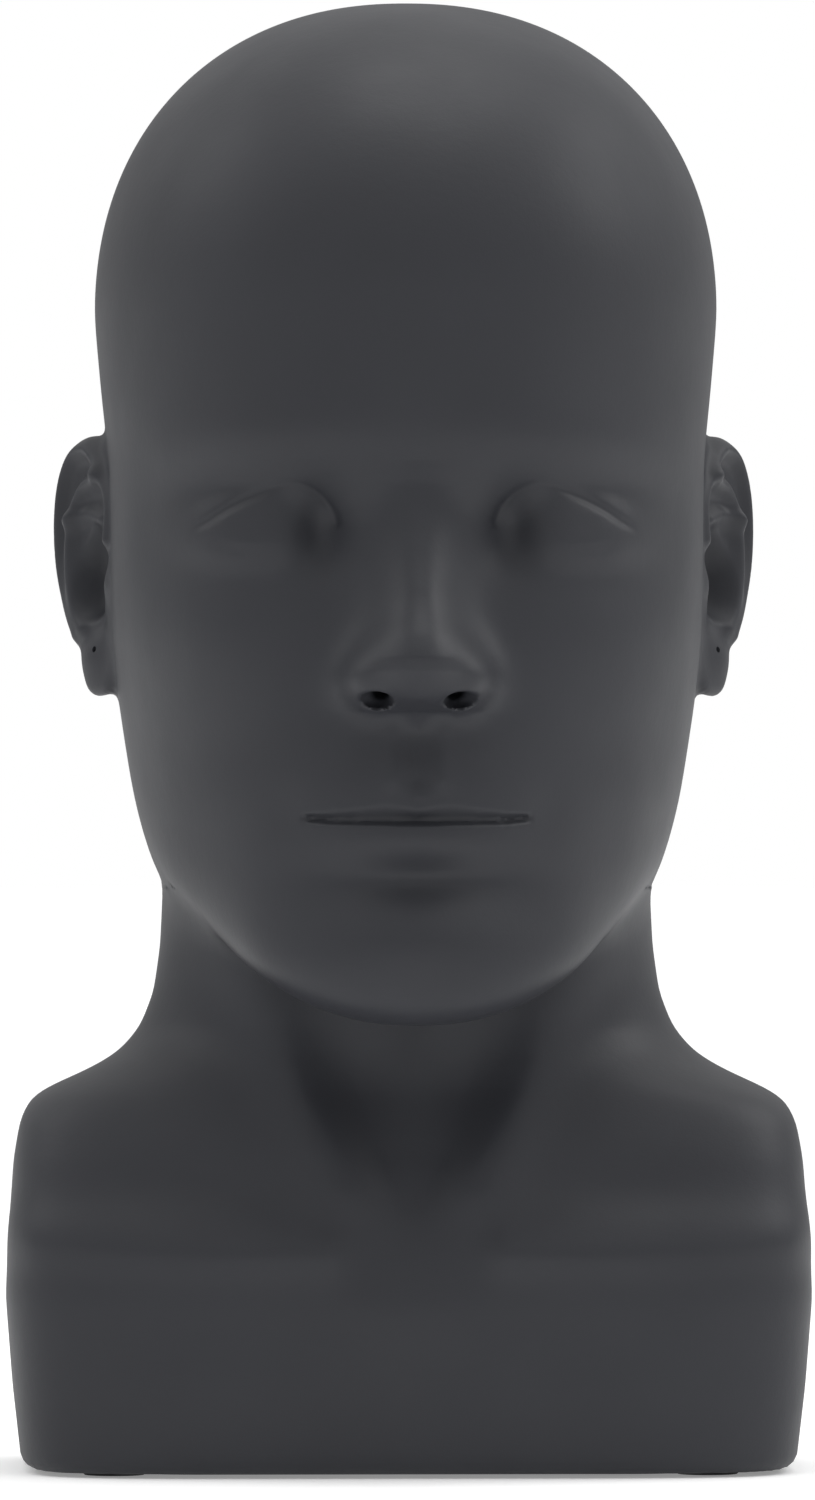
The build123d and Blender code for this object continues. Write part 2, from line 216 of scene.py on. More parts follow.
# ---- Stacked sections ---------------------------------------------------------------------------
class Stack:
    """A body given by its horizontal sections, with smooth columns of sizes against height."""

    STEP = 0.5  # between the heights at which sizes are kept, and to a neighbour when slope is measured
    MARGIN = 30.0  # heights kept below the lowest row and above the highest
    MOST_CLOSED = 0.97
    LEAST_SLOPE = 0.004

    def __init__(self, rows, soften, close_low=None):
        rows = np.array(rows, float)
        heights, sizes = rows[:, 0], rows[:, 1:].copy()
        sizes[:, 1] = sizes[:, 2] - sizes[:, 1]  # depth in front of the widest point
        sizes[:, 3] = sizes[:, 3] - sizes[:, 2]  # depth behind it
        if close_low:
            start, end = close_low
            t = np.clip((start - heights) / (start - end), 0.0, self.MOST_CLOSED)
            share = (1 - t ** CLOSE_POWER) ** (1 / CLOSE_POWER)
            for column in (0, 1, 3):
                sizes[:, column] /= share
        self.heights = np.arange(heights[0] - self.MARGIN, heights[-1] + self.MARGIN, self.STEP)
        reach = int(3 * soften / self.STEP)
        weights = np.exp(-0.5 * (np.arange(-reach, reach + 1) * self.STEP / soften) ** 2)
        weights /= weights.sum()
        self.columns = []
        for column in sizes.T:
            dense = np.interp(self.heights, heights, column)
            padded = np.pad(dense, reach, mode="edge")
            self.columns.append(np.convolve(padded, weights, mode="valid"))

    def ratio(self, points, low=None, high=None):
        """1 on the surface, less inside, more outside. low and high give the heights at which a rounded
        end starts and closes."""
        x, y, z = points.T
        width, front, middle, back, power = (np.interp(z, self.heights, c) for c in self.columns)
        depth = np.where(y < middle, front, back)
        total = ((np.abs(x) / width) ** power + (np.abs(y - middle) / depth) ** power) ** (1 / power)
        ends = np.zeros(len(points))
        for span in (low, high):
            if span:
                ends += np.clip((z - span[0]) / (span[1] - span[0]), 0.0, None) ** CLOSE_POWER
        return (total ** CLOSE_POWER + ends) ** (1 / CLOSE_POWER)

    def field(self, points, low=None, high=None):
        """About the distance to the surface, in millimetres."""
        here = self.ratio(points, low, high)
        slope = np.zeros(len(points))
        for axis in range(3):
            moved = points.copy()
            moved[:, axis] += self.STEP
            slope += ((self.ratio(moved, low, high) - here) / self.STEP) ** 2
        return (here - 1.0) / np.maximum(np.sqrt(slope), self.LEAST_SLOPE)


head_stack = Stack(HEAD_ROWS, soften=4.0, close_low=(CHIN_START, CHIN_LOWEST))
bust_stack = Stack(BUST_ROWS, soften=2.0)


def head_field(points):
    """The bare head, with its rounded crown and chin."""
    return head_stack.field(points, low=(CHIN_START, CHIN_LOWEST), high=(CROWN_START, CROWN))


def bust_field(points):
    """Neck and shoulders, with the flat bottom and its rounded edge."""
    side = bust_stack.field(points)
    bottom = FLOOR_GAP - points[:, 2]
    a, b = side + EDGE_RADIUS, bottom + EDGE_RADIUS
    corner = np.hypot(np.maximum(a, 0), np.maximum(b, 0)) + np.minimum(np.maximum(a, b), 0) - EDGE_RADIUS
    return np.maximum(corner, points[:, 2] - NECK_TOP)


# ---- Features -----------------------------------------------------------------------------------
# Soft forms of the face, of the chest and, further on, of the ear, as forms_relief takes them.
FACE_FORMS = {
    "brow": (1.3, 30.0, 28.0, 265.0, 11.0),
    "eye socket": (-6.0, 40.0, 22.0, 244.0, 12.5),
    "inner end of the socket": (-6.0, 23.0, 7.0, 241.0, 10.5),
    "cheek bone": (1.4, 50.0, 16.0, 214.0, 14.0),
    "hollow of the cheek": (-1.0, 46.0, 14.0, 182.0, 18.0),
    "beside the mouth's corner": (-0.8, 33.0, 6.0, 170.0, 9.0),
    "muzzle": (2.2, 0.0, 27.0, 179.0, 11.0),
    "lower lip": (2.4, 0.0, 21.0, 162.0, 6.0),
    "fold over the chin": (-3.8, 0.0, 18.0, 152.5, 6.0),
    "chin": (1.8, 0.0, 18.0, 137.0, 9.0),
}
CHEST_FORMS = {
    "hollow over the collar bone": (-2.4, 56.0, 28.0, 74.0, 7.5),
    "notch between the collar bones": (-2.2, 0.0, 11.0, 68.0, 10.0),
    "breast bone": (1.2, 0.0, 16.0, 40.0, 11.0),
}

# The blank eye: middle and half size across and up, squareness each way, and height.
EYE_ACROSS, EYE_UP = 43.5, 241.0
EYE_WIDTH, EYE_HEIGHT = 16.5, 9.5
EYE_SQUARENESS = (2.4, 2.2)
EYE_EDGE = 1.2  # how steeply its edge falls
EYE_RELIEF = 6.2

# Lines of the eyelids: distance from the middle, height.
UPPER_LID = rounded([(20.0, 242.6), (21.6, 246.4), (25.5, 250.4), (32.0, 252.4), (40.5, 249.6),
                     (47.5, 246.2), (53.0, 242.8), (57.8, 240.0)])
LID_FOLD = rounded([(40.0, 253.4), (48.0, 251.4), (55.0, 248.0), (61.0, 243.5)])
LOWER_LID = rounded([(36.0, 235.6), (45.0, 235.8), (54.0, 238.4)])
UPPER_LID_DEPTH, LID_FOLD_DEPTH, LOWER_LID_DEPTH = 0.85, 0.15, 0.3
UPPER_LID_WIDTH, FAINT_LID_WIDTH = 1.1, 1.4

# The groove over the upper lip and the ridge on each side of it.
PHILTRUM_DEPTH, PHILTRUM_WIDTH = 1.3, 3.4
PHILTRUM_RIDGE, PHILTRUM_RIDGE_ACROSS, PHILTRUM_RIDGE_WIDTH = 0.6, 6.2, 2.6
PHILTRUM_LOW, PHILTRUM_HIGH = (173, 178), (189, 194)  # it fades in and out between these heights

# The nose's bridge and sides: height on the head, height over the face, half width.
NOSE_BRIDGE = np.array([(194.5, 0.0, 14.0), (197.5, 5.0, 14.4), (200.5, 12.6, 14.6), (204.5, 21.0, 14.2),
                        (208.0, 22.8, 13.6), (214.0, 21.2, 12.6), (226.0, 15.8, 10.9), (233.0, 11.4, 10.5),
                        (240.0, 7.4, 10.3), (246.0, 4.3, 10.3), (252.0, 1.6, 10.5), (258.0, 0.0, 11.0)])
NOSE_SQUARENESS = 2.25

# Balls of the nose: middle and half sizes. Rods: both ends and the radius at each.
NOSE_TIP = (0.0, -102.2, 206.0), (8.6, 10.0, 7.6)
NOSE_WING = (11.2, -96.0, 202.4), (6.2, 9.2, 5.8)
COLUMELLA = (0.0, -104.0, 201.5), (0.0, -91.0, 199.5), 4.0, 4.2
NOSTRIL_MOUTH = (10.6, -101.5, 197.2), (4.4, 7.4, 2.7)
NOSTRIL_THROAT = (10.2, -99.5, 197.6), (8.5, -90.0, 201.5), 2.3, 2.0

# Mouth: distance from the middle, height of the line, height of the upper lip's edge.
MOUTH = np.array([(0.0, 167.3, 170.4), (4.0, 167.3, 171.2), (8.0, 167.4, 171.9), (14.0, 167.4, 171.0),
                  (22.0, 167.5, 169.9), (29.5, 168.2, 169.4)])
MOUTH_END = 29.5
MOUTH_DEPTH = 2.6
LIP_TOP = 1.7  # height of the part of the lower lip that faces up

# Widths of the fillets where one form meets another.
WING_JOIN, COLUMELLA_JOIN, NOSTRIL_JOIN, NOSE_JOIN, NOSTRIL_EDGE = 11.0, 4.0, 1.5, 13.0, 1.0
NECK_JOIN, SMOOTH_NECK_JOIN, EAR_JOIN, EAR_EDGE = 6.0, 9.0, 3.0, 2.6


def face_relief(across, up):
    """How far the soft forms stand out from the head's own surface. across is never negative."""
    relief = forms_relief(FACE_FORMS, across, up)
    eye = np.abs((across - EYE_ACROSS) / EYE_WIDTH) ** EYE_SQUARENESS[0]
    eye += np.abs((up - EYE_UP) / EYE_HEIGHT) ** EYE_SQUARENESS[1]
    relief += EYE_RELIEF * np.exp(-(eye ** EYE_EDGE))
    philtrum = ramp(up, *PHILTRUM_LOW) * (1 - ramp(up, *PHILTRUM_HIGH))
    relief -= PHILTRUM_DEPTH * bell(across, PHILTRUM_WIDTH) * philtrum
    relief += PHILTRUM_RIDGE * bell(across - PHILTRUM_RIDGE_ACROSS, PHILTRUM_RIDGE_WIDTH) * philtrum
    height, width = (np.interp(up, NOSE_BRIDGE[:, 0], NOSE_BRIDGE[:, i]) for i in (1, 2))
    relief += height * np.exp(-((across / width) ** NOSE_SQUARENESS))
    return relief


def lid_lines(across, up):
    """Depth of the lines of the eyelids. The upper one is faint at its highest place and at its outer end,
    and the others at both ends."""
    flat = np.column_stack([across, up])
    gap, share = path_distance(flat, UPPER_LID)
    faint = 1 - 0.6 * bell(share - 0.38, 0.12)
    depth = UPPER_LID_DEPTH * bell(gap, UPPER_LID_WIDTH) * faint * (1 - ramp(share, 0.86, 1.0))
    for line, deepest in ((LID_FOLD, LID_FOLD_DEPTH), (LOWER_LID, LOWER_LID_DEPTH)):
        gap, share = path_distance(flat, line)
        depth += deepest * bell(gap, FAINT_LID_WIDTH) * bell(share - 0.5, 0.4)
    return depth


def mouth_notch(across, up):
    """Depth of the mouth: a notch with a long upper side that faces down and a short lower one."""
    line, edge = (np.interp(across, MOUTH[:, 0], MOUTH[:, i]) for i in (1, 2))
    over = up - line
    depth = np.where(over > 0, 1 - ramp(over, 0.0, edge - line), ramp(over, -LIP_TOP, 0.0))
    share = across / MOUTH_END
    return MOUTH_DEPTH * (1 - 0.4 * share) * depth * (1 - ramp(share, 0.9, 1.02))


def nose_field(points):
    """Tip, wings and columella. points have been folded to one side."""
    sides = smooth_join(ball(points, *NOSE_TIP), ball(points, *NOSE_WING), WING_JOIN)
    return smooth_join(sides, rod(points, *COLUMELLA), COLUMELLA_JOIN)


def nostril_field(points):
    """The hole under each side of the nose."""
    return smooth_join(ball(points, *NOSTRIL_MOUTH), rod(points, *NOSTRIL_THROAT), NOSTRIL_JOIN)


# ---- Ears ---------------------------------------------------------------------------------------
EAR_ORIGIN = np.array([75.5, 8.0, 234.0])
EAR_FLARE = math.radians(27.0)
EAR_LEAN = math.radians(9.0)
EAR_ALONG = np.array([math.sin(EAR_FLARE), math.cos(EAR_FLARE), 0.0])
EAR_UP = np.array([0.0, math.sin(EAR_LEAN), math.cos(EAR_LEAN)])
EAR_OUT = np.cross(EAR_ALONG, EAR_UP)
EAR_MIDDLE = EAR_ORIGIN + 15 * EAR_ALONG
EAR_REACH = 46.0  # nothing of the ear is further from its middle

# Outlines and ridges in the ear's own plane: along the ear, up the ear.
EAR_OUTLINE = rounded([(-3.0, 32.0), (4.0, 31.0), (10.0, 33.0), (18.0, 36.2), (26.0, 35.6),
                       (32.0, 30.6), (34.0, 22.0), (33.4, 12.0), (30.5, 2.0), (24.5, -9.0),
                       (18.0, -18.0), (14.0, -25.0), (11.0, -31.0), (6.0, -33.0), (-1.0, -31.5),
                       (-4.0, -20.0), (-4.0, 5.0), (-3.0, 32.0)], steps=4)[:-1]
RIM = rounded([(0.0, 6.0), (0.5, 15.0), (5.0, 22.5), (11.0, 28.5), (18.0, 32.6), (25.6, 31.4),
               (30.0, 25.0), (30.8, 15.0), (28.4, 3.5), (23.4, -7.0), (17.5, -16.0)])
ANTIHELIX = rounded([(9.0, 23.0), (16.0, 22.0), (20.5, 17.0), (22.0, 9.0), (20.8, 0.0), (18.0, -8.0),
                     (13.5, -14.5)])
LOWER_CRUS = rounded([(21.0, 14.5), (14.0, 15.0), (7.0, 12.5)])
RIM_HEIGHT, RIM_FALL, RIM_WIDTH = 3.6, 1.8, 2.5
ANTIHELIX_HEIGHT, ANTIHELIX_FALL, ANTIHELIX_WIDTH = 3.4, 1.2, 2.9
CRUS_HEIGHT, CRUS_WIDTH = 1.8, 2.3
EAR_FORMS = {
    "lobe": (1.8, 8.0, 6.5, -23.0, 6.5),
    "tragus": (2.2, -0.5, 3.6, -5.0, 5.04),
    "notch below the tragus": (-1.2, 4.5, 3.0, -14.0, 3.0),
}
EAR_FRONT, EAR_BACK = 0.6, -3.4  # the plain front and back, out from the ear's own plane
CONCHA_CENTRE, CONCHA_SIZE = (9.5, -1.0), (8.5, 12.0)
CONCHA_DEPTH, CONCHA_BACK = 7.5, 9.0  # how far the bowl sinks in front and stands out behind
PIERCING = (8.5, -22.5)
PIERCING_RADIUS, PIERCING_REACH = 0.8, 11.0


def ear_field(points):
    """One ear. points have been folded to one side and lie near it."""
    local = (points - EAR_ORIGIN) @ np.column_stack([EAR_ALONG, EAR_UP, EAR_OUT])
    flat, out = local[:, :2], local[:, 2]
    along, up = flat.T
    edge = outline_field(flat, EAR_OUTLINE)
    front = EAR_FRONT + forms_relief(EAR_FORMS, along, up)
    gap, share = path_distance(flat, RIM)
    front += (RIM_HEIGHT - RIM_FALL * share) * bell(gap, RIM_WIDTH)
    gap, share = path_distance(flat, ANTIHELIX)
    front += (ANTIHELIX_HEIGHT - ANTIHELIX_FALL * ramp(share, 0.6, 1.0)) * bell(gap, ANTIHELIX_WIDTH)
    gap, _ = path_distance(flat, LOWER_CRUS)
    front += CRUS_HEIGHT * bell(gap, CRUS_WIDTH)
    bowl = np.linalg.norm((flat - CONCHA_CENTRE) / CONCHA_SIZE, axis=1)
    front -= CONCHA_DEPTH * (1 - ramp(bowl, 0.45, 1.15))
    back = EAR_BACK - CONCHA_BACK * (1 - ramp(bowl, 0.9, 1.6))
    slab = np.maximum(out - front, back - out)
    return -smooth_join(-slab, -edge, EAR_EDGE)


# ---- Neck and chest ------------------------------------------------------------------------------
# Each path: distance from the middle, height.
NECK_MUSCLE = [(17.0, 68.0), (27.0, 95.0), (41.0, 125.0), (60.0, 165.0)]
COLLAR_BONE = [(24.0, 57.5), (45.0, 57.0), (70.0, 58.0), (96.0, 60.0)]
MUSCLE_HEIGHT, MUSCLE_WIDTH = 2.6, 9.0
BONE_HEIGHT, BONE_FALL, BONE_WIDTH = 2.9, 1.3, 6.5
THROAT_DEPTH = 2.8
THROAT_LOW, THROAT_HIGH = (60, 4.0), (112, 28.0)  # height, half width of the hollow between the muscles
LARYNX_HEIGHT, LARYNX_WIDTH, LARYNX_UP, LARYNX_RISE = 1.8, 7.0, 104, 13


def neck_relief(across, y, z):
    """Forms of the throat and the neck's long muscles."""
    front = ramp(-y, -10, 20)
    gap, _ = path_distance(np.column_stack([across, z]), NECK_MUSCLE)
    relief = MUSCLE_HEIGHT * bell(gap, MUSCLE_WIDTH) * ramp(z, 62, 74)
    (low, narrow), (high, wide) = THROAT_LOW, THROAT_HIGH
    throat = narrow + (wide - narrow) * ramp(z, low, high)
    relief -= THROAT_DEPTH * (1 - ramp(across, throat * 0.55, throat + 5)) * ramp(z, 66, 84)
    relief += LARYNX_HEIGHT * bell(across, LARYNX_WIDTH) * bell(z - LARYNX_UP, LARYNX_RISE)
    return relief * front


def chest_relief(across, y, z):
    """Collar bones, the hollow over them and the breast bone."""
    gap, share = path_distance(np.column_stack([across, z]), COLLAR_BONE)
    relief = (BONE_HEIGHT - BONE_FALL * share) * bell(gap, BONE_WIDTH)
    return (relief + forms_relief(CHEST_FORMS, across, z)) * ramp(-y, -5, 25)


# ---- The whole skin ------------------------------------------------------------------------------
# Where each feature is worked out: most across, rearmost y, lowest and highest place.
REGIONS = {
    "face": (np.inf, -20, 120, 300),
    "nose": (40, -60, 170, 240),
    "nostril": (40, -60, 170, 212),
    "eyes": (75, -20, 225, 270),
    "mouth": (40, -60, 155, 185),
    "chest": (np.inf, np.inf, -np.inf, 150),
}
FACE_FADE = (20, 45)  # the face's relief fades in over this stretch, from the middle to the front


def region(folded, name):
    """Which points lie where a feature is worked out."""
    widest, rearmost, lowest, highest = REGIONS[name]
    across, y, up = folded.T
    return (across < widest) & (y < rearmost) & (up > lowest) & (up < highest)


def detailed_head(folded, head):
    """Adds the face to the bare head's field."""
    across, y, up = folded.T
    here = region(folded, "face")
    head[here] -= face_relief(across[here], up[here]) * ramp(-y[here], *FACE_FADE)
    here = region(folded, "nose")
    head[here] = smooth_join(head[here], nose_field(folded[here]), NOSE_JOIN)
    here = region(folded, "nostril")
    head[here] = smooth_cut(head[here], nostril_field(folded[here]), NOSTRIL_EDGE)
    here = region(folded, "eyes")
    head[here] += lid_lines(across[here], up[here])
    here = region(folded, "mouth")
    head[here] += mouth_notch(across[here], up[here])
    return head


def skin_field(points, detail=True):
    """The finished outside. Without detail it is only the bare head and bust, for the hollow inside."""
    folded = points.copy()
    folded[:, 0] = np.abs(folded[:, 0])
    head = head_field(folded)
    bust = bust_field(folded)
    if not detail:
        return smooth_join(head, bust, SMOOTH_NECK_JOIN)

    head = detailed_head(folded, head)
    here = region(folded, "chest")
    bust[here] -= neck_relief(*folded[here].T) + chest_relief(*folded[here].T)
    skin = np.maximum(smooth_join(head, bust, NECK_JOIN), FLOOR_GAP - folded[:, 2])
    here = np.linalg.norm(folded - EAR_MIDDLE, axis=1) < EAR_REACH
    skin[here] = smooth_join(skin[here], ear_field(folded[here]), EAR_JOIN)
    return skin


def hollow_field(points):
    """The inside of the shell, at least one wall in from the smooth skin and from the finished one."""
    wall = np.maximum(skin_field(points, detail=False), skin_field(points)) + WALL
    return np.maximum(wall, FLOOR_GAP + WALL - points[:, 2])


# ---- From field to mesh --------------------------------------------------------------------------
def sample_grid(field, low, high, voxel):
    """Field values on a grid. Only blocks near the surface are worked out in full."""
    block = voxel * COARSE
    counts = np.ceil((high - low) / block).astype(int) + 1
    axes = [low[i] + block * np.arange(counts[i]) for i in range(3)]
    coarse = np.stack(np.meshgrid(*axes, indexing="ij"), axis=-1)
    rough = field(coarse.reshape(-1, 3)).reshape(counts)
    fine_counts = (counts - 1) * COARSE + 1
    values = np.repeat(np.repeat(np.repeat(rough, COARSE, 0), COARSE, 1), COARSE, 2)
    values = values[:fine_counts[0], :fine_counts[1], :fine_counts[2]].copy()
    fine_axes = [low[i] + voxel * np.arange(fine_counts[i]) for i in range(3)]
    near = np.abs(values) < NEAR_BLOCKS * block
    index = np.argwhere(near)
    places = np.column_stack([fine_axes[i][index[:, i]] for i in range(3)])
    parts = np.array_split(places, len(places) // BATCH + 1)
    values[near] = np.concatenate([field(part) for part in parts])
    return values, fine_axes


def surface_mesh(field, low, high, voxel):
    """Vertices and quads of the field's surface (surface nets)."""
    values, axes = sample_grid(field, low, high, voxel)
    inside = values < 0
    cells = tuple(n - 1 for n in values.shape)
    sums = np.zeros(cells + (3,))
    hits = np.zeros(cells)
    corner = [slice(0, -1), slice(1, None)]
    for axis in range(3):
        others = [a for a in range(3) if a != axis]
        for da in (0, 1):
            for db in (0, 1):
                first = [None] * 3
                first[axis], first[others[0]], first[others[1]] = corner[0], corner[da], corner[db]
                second = list(first)
                second[axis] = corner[1]
                v0, v1 = values[tuple(first)], values[tuple(second)]
                crossing = (v0 < 0) != (v1 < 0)
                t = np.where(crossing, v0 / np.where(crossing, v0 - v1, 1.0), 0.0)
                hits += crossing
                sums[..., axis] += t
                sums[..., others[0]] += crossing * da
                sums[..., others[1]] += crossing * db
    active = hits > 0
    number = np.full(cells, -1)
    number[active] = np.arange(active.sum())
    base = np.argwhere(active)
    vertices = low + voxel * (base + sums[active] / hits[active][:, None])
    quads = []
    for axis in range(3):
        a, b = [(1, 2), (2, 0), (0, 1)][axis]
        first = [slice(1, -1)] * 3
        first[axis] = slice(0, -1)
        second = [slice(1, -1)] * 3
        second[axis] = slice(1, None)
        s0, s1 = inside[tuple(first)], inside[tuple(second)]
        for rising, where in ((True, s0 & ~s1), (False, ~s0 & s1)):
            spots = np.argwhere(where)
            spots += 1
            spots[:, axis] -= 1
            ring = []
            for da, db in ((-1, -1), (0, -1), (0, 0), (-1, 0)):
                cell = spots.copy()
                cell[:, a] += da
                cell[:, b] += db
                ring.append(number[cell[:, 0], cell[:, 1], cell[:, 2]])
            ring = np.column_stack(ring)
            quads.append(ring if rising else ring[:, ::-1])
    return vertices, np.vstack(quads)


def slope_of(field, points, step=0.15):
    """How fast the field grows along each axis."""
    slope = np.empty_like(points)
    for axis in range(3):
        shift = np.zeros(3)
        shift[axis] = step
        slope[:, axis] = (field(points + shift) - field(points - shift)) / (2 * step)
    return slope


def settle(field, points, rounds=4):
    """Moves points onto the field's surface."""
    points = points.copy()
    for _ in range(rounds):
        slope = slope_of(field, points)
        steep = np.maximum((slope ** 2).sum(axis=1), 0.05)
        step = (field(points) / steep)[:, None] * slope
        length = np.linalg.norm(step, axis=1)[:, None]
        points -= step * np.minimum(1.0, LONGEST_STEP / np.maximum(length, TINY))
    return points


def relaxed(points, edges, amount=0.5):
    """Points moved part of the way to the middle of their neighbours."""
    total = np.zeros_like(points)
    count = np.zeros(len(points))
    for a, b in ((0, 1), (1, 0)):
        np.add.at(total, edges[:, a], points[edges[:, b]])
        np.add.at(count, edges[:, a], 1)
    return points + amount * (total / count[:, None] - points)


def mesh_arrays(mesh):
    """Vertex places and edges of a Blender mesh as arrays."""
    points = np.empty(len(mesh.vertices) * 3)
    mesh.vertices.foreach_get("co", points)
    edges = np.empty(len(mesh.edges) * 2, int)
    mesh.edges.foreach_get("vertices", edges)
    return points.reshape(-1, 3), edges.reshape(-1, 2)


def new_mesh(name, vertices, faces):
    """A Blender mesh from arrays."""
    mesh = bpy.data.meshes.new(name)
    mesh.from_pydata(vertices.tolist(), [], faces.tolist())
    mesh.validate()
    mesh.update()
    return mesh


def refine(mesh, field, bend, shortest):
    """Splits the edges across which the field's surface turns by more than bend degrees."""
    points, edges = mesh_arrays(mesh)
    normal = slope_of(field, points)
    normal /= np.linalg.norm(normal, axis=1)[:, None]
    a, b = edges.T
    turn = np.degrees(np.arccos(np.clip((normal[a] * normal[b]).sum(axis=1), -1, 1)))
    length = np.linalg.norm(points[a] - points[b], axis=1)
    wanted = (turn > bend) & (length > shortest) & (points[a][:, 2] > FLOOR_GAP + PLAIN_FOOT)
    work = bmesh.new()
    work.from_mesh(mesh)
    work.edges.ensure_lookup_table()
    marked_faces = {face for i in np.flatnonzero(wanted) for face in work.edges[i].link_faces}
    marked = list({edge for face in marked_faces for edge in face.edges})
    bmesh.ops.subdivide_edges(work, edges=marked, cuts=1, use_grid_fill=True)
    work.to_mesh(mesh)
    work.free()
    points, edges = mesh_arrays(mesh)
    points = settle(field, relaxed(points, edges, 0.25), 3)
    mesh.vertices.foreach_set("co", points.ravel())
    mesh.update()


def skin_mesh():
    """The outside of the skin as a closed mesh, in millimetres."""
    low, high = (np.array(corner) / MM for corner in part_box("head_shell"))
    vertices, quads = surface_mesh(skin_field, low - 4 * VOXEL, high + 4 * VOXEL, VOXEL)
    mesh = new_mesh("head_skin", vertices, quads)
    points, edges = mesh_arrays(mesh)
    points = settle(skin_field, points)
    for _ in range(3):
        points = settle(skin_field, relaxed(points, edges), 2)
    mesh.vertices.foreach_set("co", points.ravel())
    for bend, shortest in REFINE_PASSES:
        refine(mesh, skin_field, bend, shortest)
    return mesh


def hollow_mesh():
    """The inside of the skin, coarser and turned inwards."""
    low, high = (np.array(corner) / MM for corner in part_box("head_shell"))
    margin = 2 * HOLLOW_VOXEL
    vertices, quads = surface_mesh(hollow_field, low - margin, high + margin, HOLLOW_VOXEL)
    vertices = settle(hollow_field, vertices)
    return vertices, quads[:, ::-1]


def opening_outline():
    """Corners and arcs of the bottom opening, seen from above."""
    width, depth, corner = OPENING
    places = []
    for step in range(4 * ARC_STEPS):
        quarter = step // ARC_STEPS
        turn = math.pi / 2 * (quarter + (step % ARC_STEPS) / (ARC_STEPS - 1))
        side, end = ((1, 1), (-1, 1), (-1, -1), (1, -1))[quarter]
        x = side * (width / 2 - corner) + corner * math.cos(turn)
        y = BASE_Y + end * (depth / 2 - corner) + corner * math.sin(turn)
        places.append((x, y))
    return places


def add_prism(work, places, low, high):
    """A closed prism on an outline, between two heights."""
    ring = [work.verts.new((x, y, low)) for x, y in places]
    base = work.faces.new(ring)
    raised = bmesh.ops.extrude_face_region(work, geom=[base])["geom"]
    verts = [part for part in raised if isinstance(part, bmesh.types.BMVert)]
    bmesh.ops.translate(work, vec=(0, 0, high - low), verts=verts)


def cutter():
    """What is cut from the skin: the bottom opening, the foot pockets and the piercings of the lobes."""
    work = bmesh.new()
    add_prism(work, opening_outline(), -CUT_PAST, FLOOR_GAP + WALL + CUT_PAST)
    turns = [2 * math.pi * step / POCKET_SIDES for step in range(POCKET_SIDES)]
    place = EAR_ORIGIN + PIERCING[0] * EAR_ALONG + PIERCING[1] * EAR_UP
    turned = Vector(EAR_OUT).to_track_quat("Z", "Y").to_matrix().to_4x4()
    hole = Matrix.Translation(place) @ turned
    for sx in (-1, 1):
        for sy in (-1, 1):
            x, y = sx * FOOT_PLACE[0], BASE_Y + sy * FOOT_PLACE[1]
            rim = [(x + POCKET_RADIUS * math.cos(t), y + POCKET_RADIUS * math.sin(t)) for t in turns]
            add_prism(work, rim, -CUT_PAST, POCKET_TOP)
        mirror = Matrix.Scale(sx, 4, (1, 0, 0))
        bmesh.ops.create_cone(work, cap_ends=True, segments=PIERCING_SIDES, radius1=PIERCING_RADIUS,
                              radius2=PIERCING_RADIUS, depth=PIERCING_REACH, matrix=mirror @ hole)
    bmesh.ops.recalc_face_normals(work, faces=work.faces)
    bmesh.ops.scale(work, vec=(MM, MM, MM), verts=work.verts)
    mesh = bpy.data.meshes.new("cutter")
    work.to_mesh(mesh)
    work.free()
    made = bpy.data.objects.new("cutter", mesh)
    bpy.context.collection.objects.link(made)
    return made


def cut(target, tool):
    """Takes tool away from target for good, and removes tool."""
    modifier = target.modifiers.new("cut", "BOOLEAN")
    modifier.operation = "DIFFERENCE"
    modifier.solver = "EXACT"
    modifier.object = tool
    finished = target.evaluated_get(bpy.context.evaluated_depsgraph_get())
    mesh = bpy.data.meshes.new_from_object(finished)
    target.modifiers.clear()
    target.data = mesh
    bpy.data.objects.remove(tool)


def build_skin():
    """The skin as one hollow piece with everything cut from it."""
    outer = skin_mesh()
    work = bmesh.new()
    work.from_mesh(outer)
    vertices, quads = hollow_mesh()
    inner = new_mesh("hollow", vertices, quads)
    work.from_mesh(inner)
    bmesh.ops.scale(work, vec=(MM, MM, MM), verts=work.verts)
    work.to_mesh(outer)
    work.free()
    skin = bpy.data.objects.new("head_skin", outer)
    bpy.context.collection.objects.link(skin)
    cut(skin, cutter())
    skin.data.shade_smooth()
    skin.data.set_sharp_from_angle(angle=math.radians(SHARP_ANGLE))
    return skin


skin = build_skin()
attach(skin, "root")
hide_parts("head_shell")


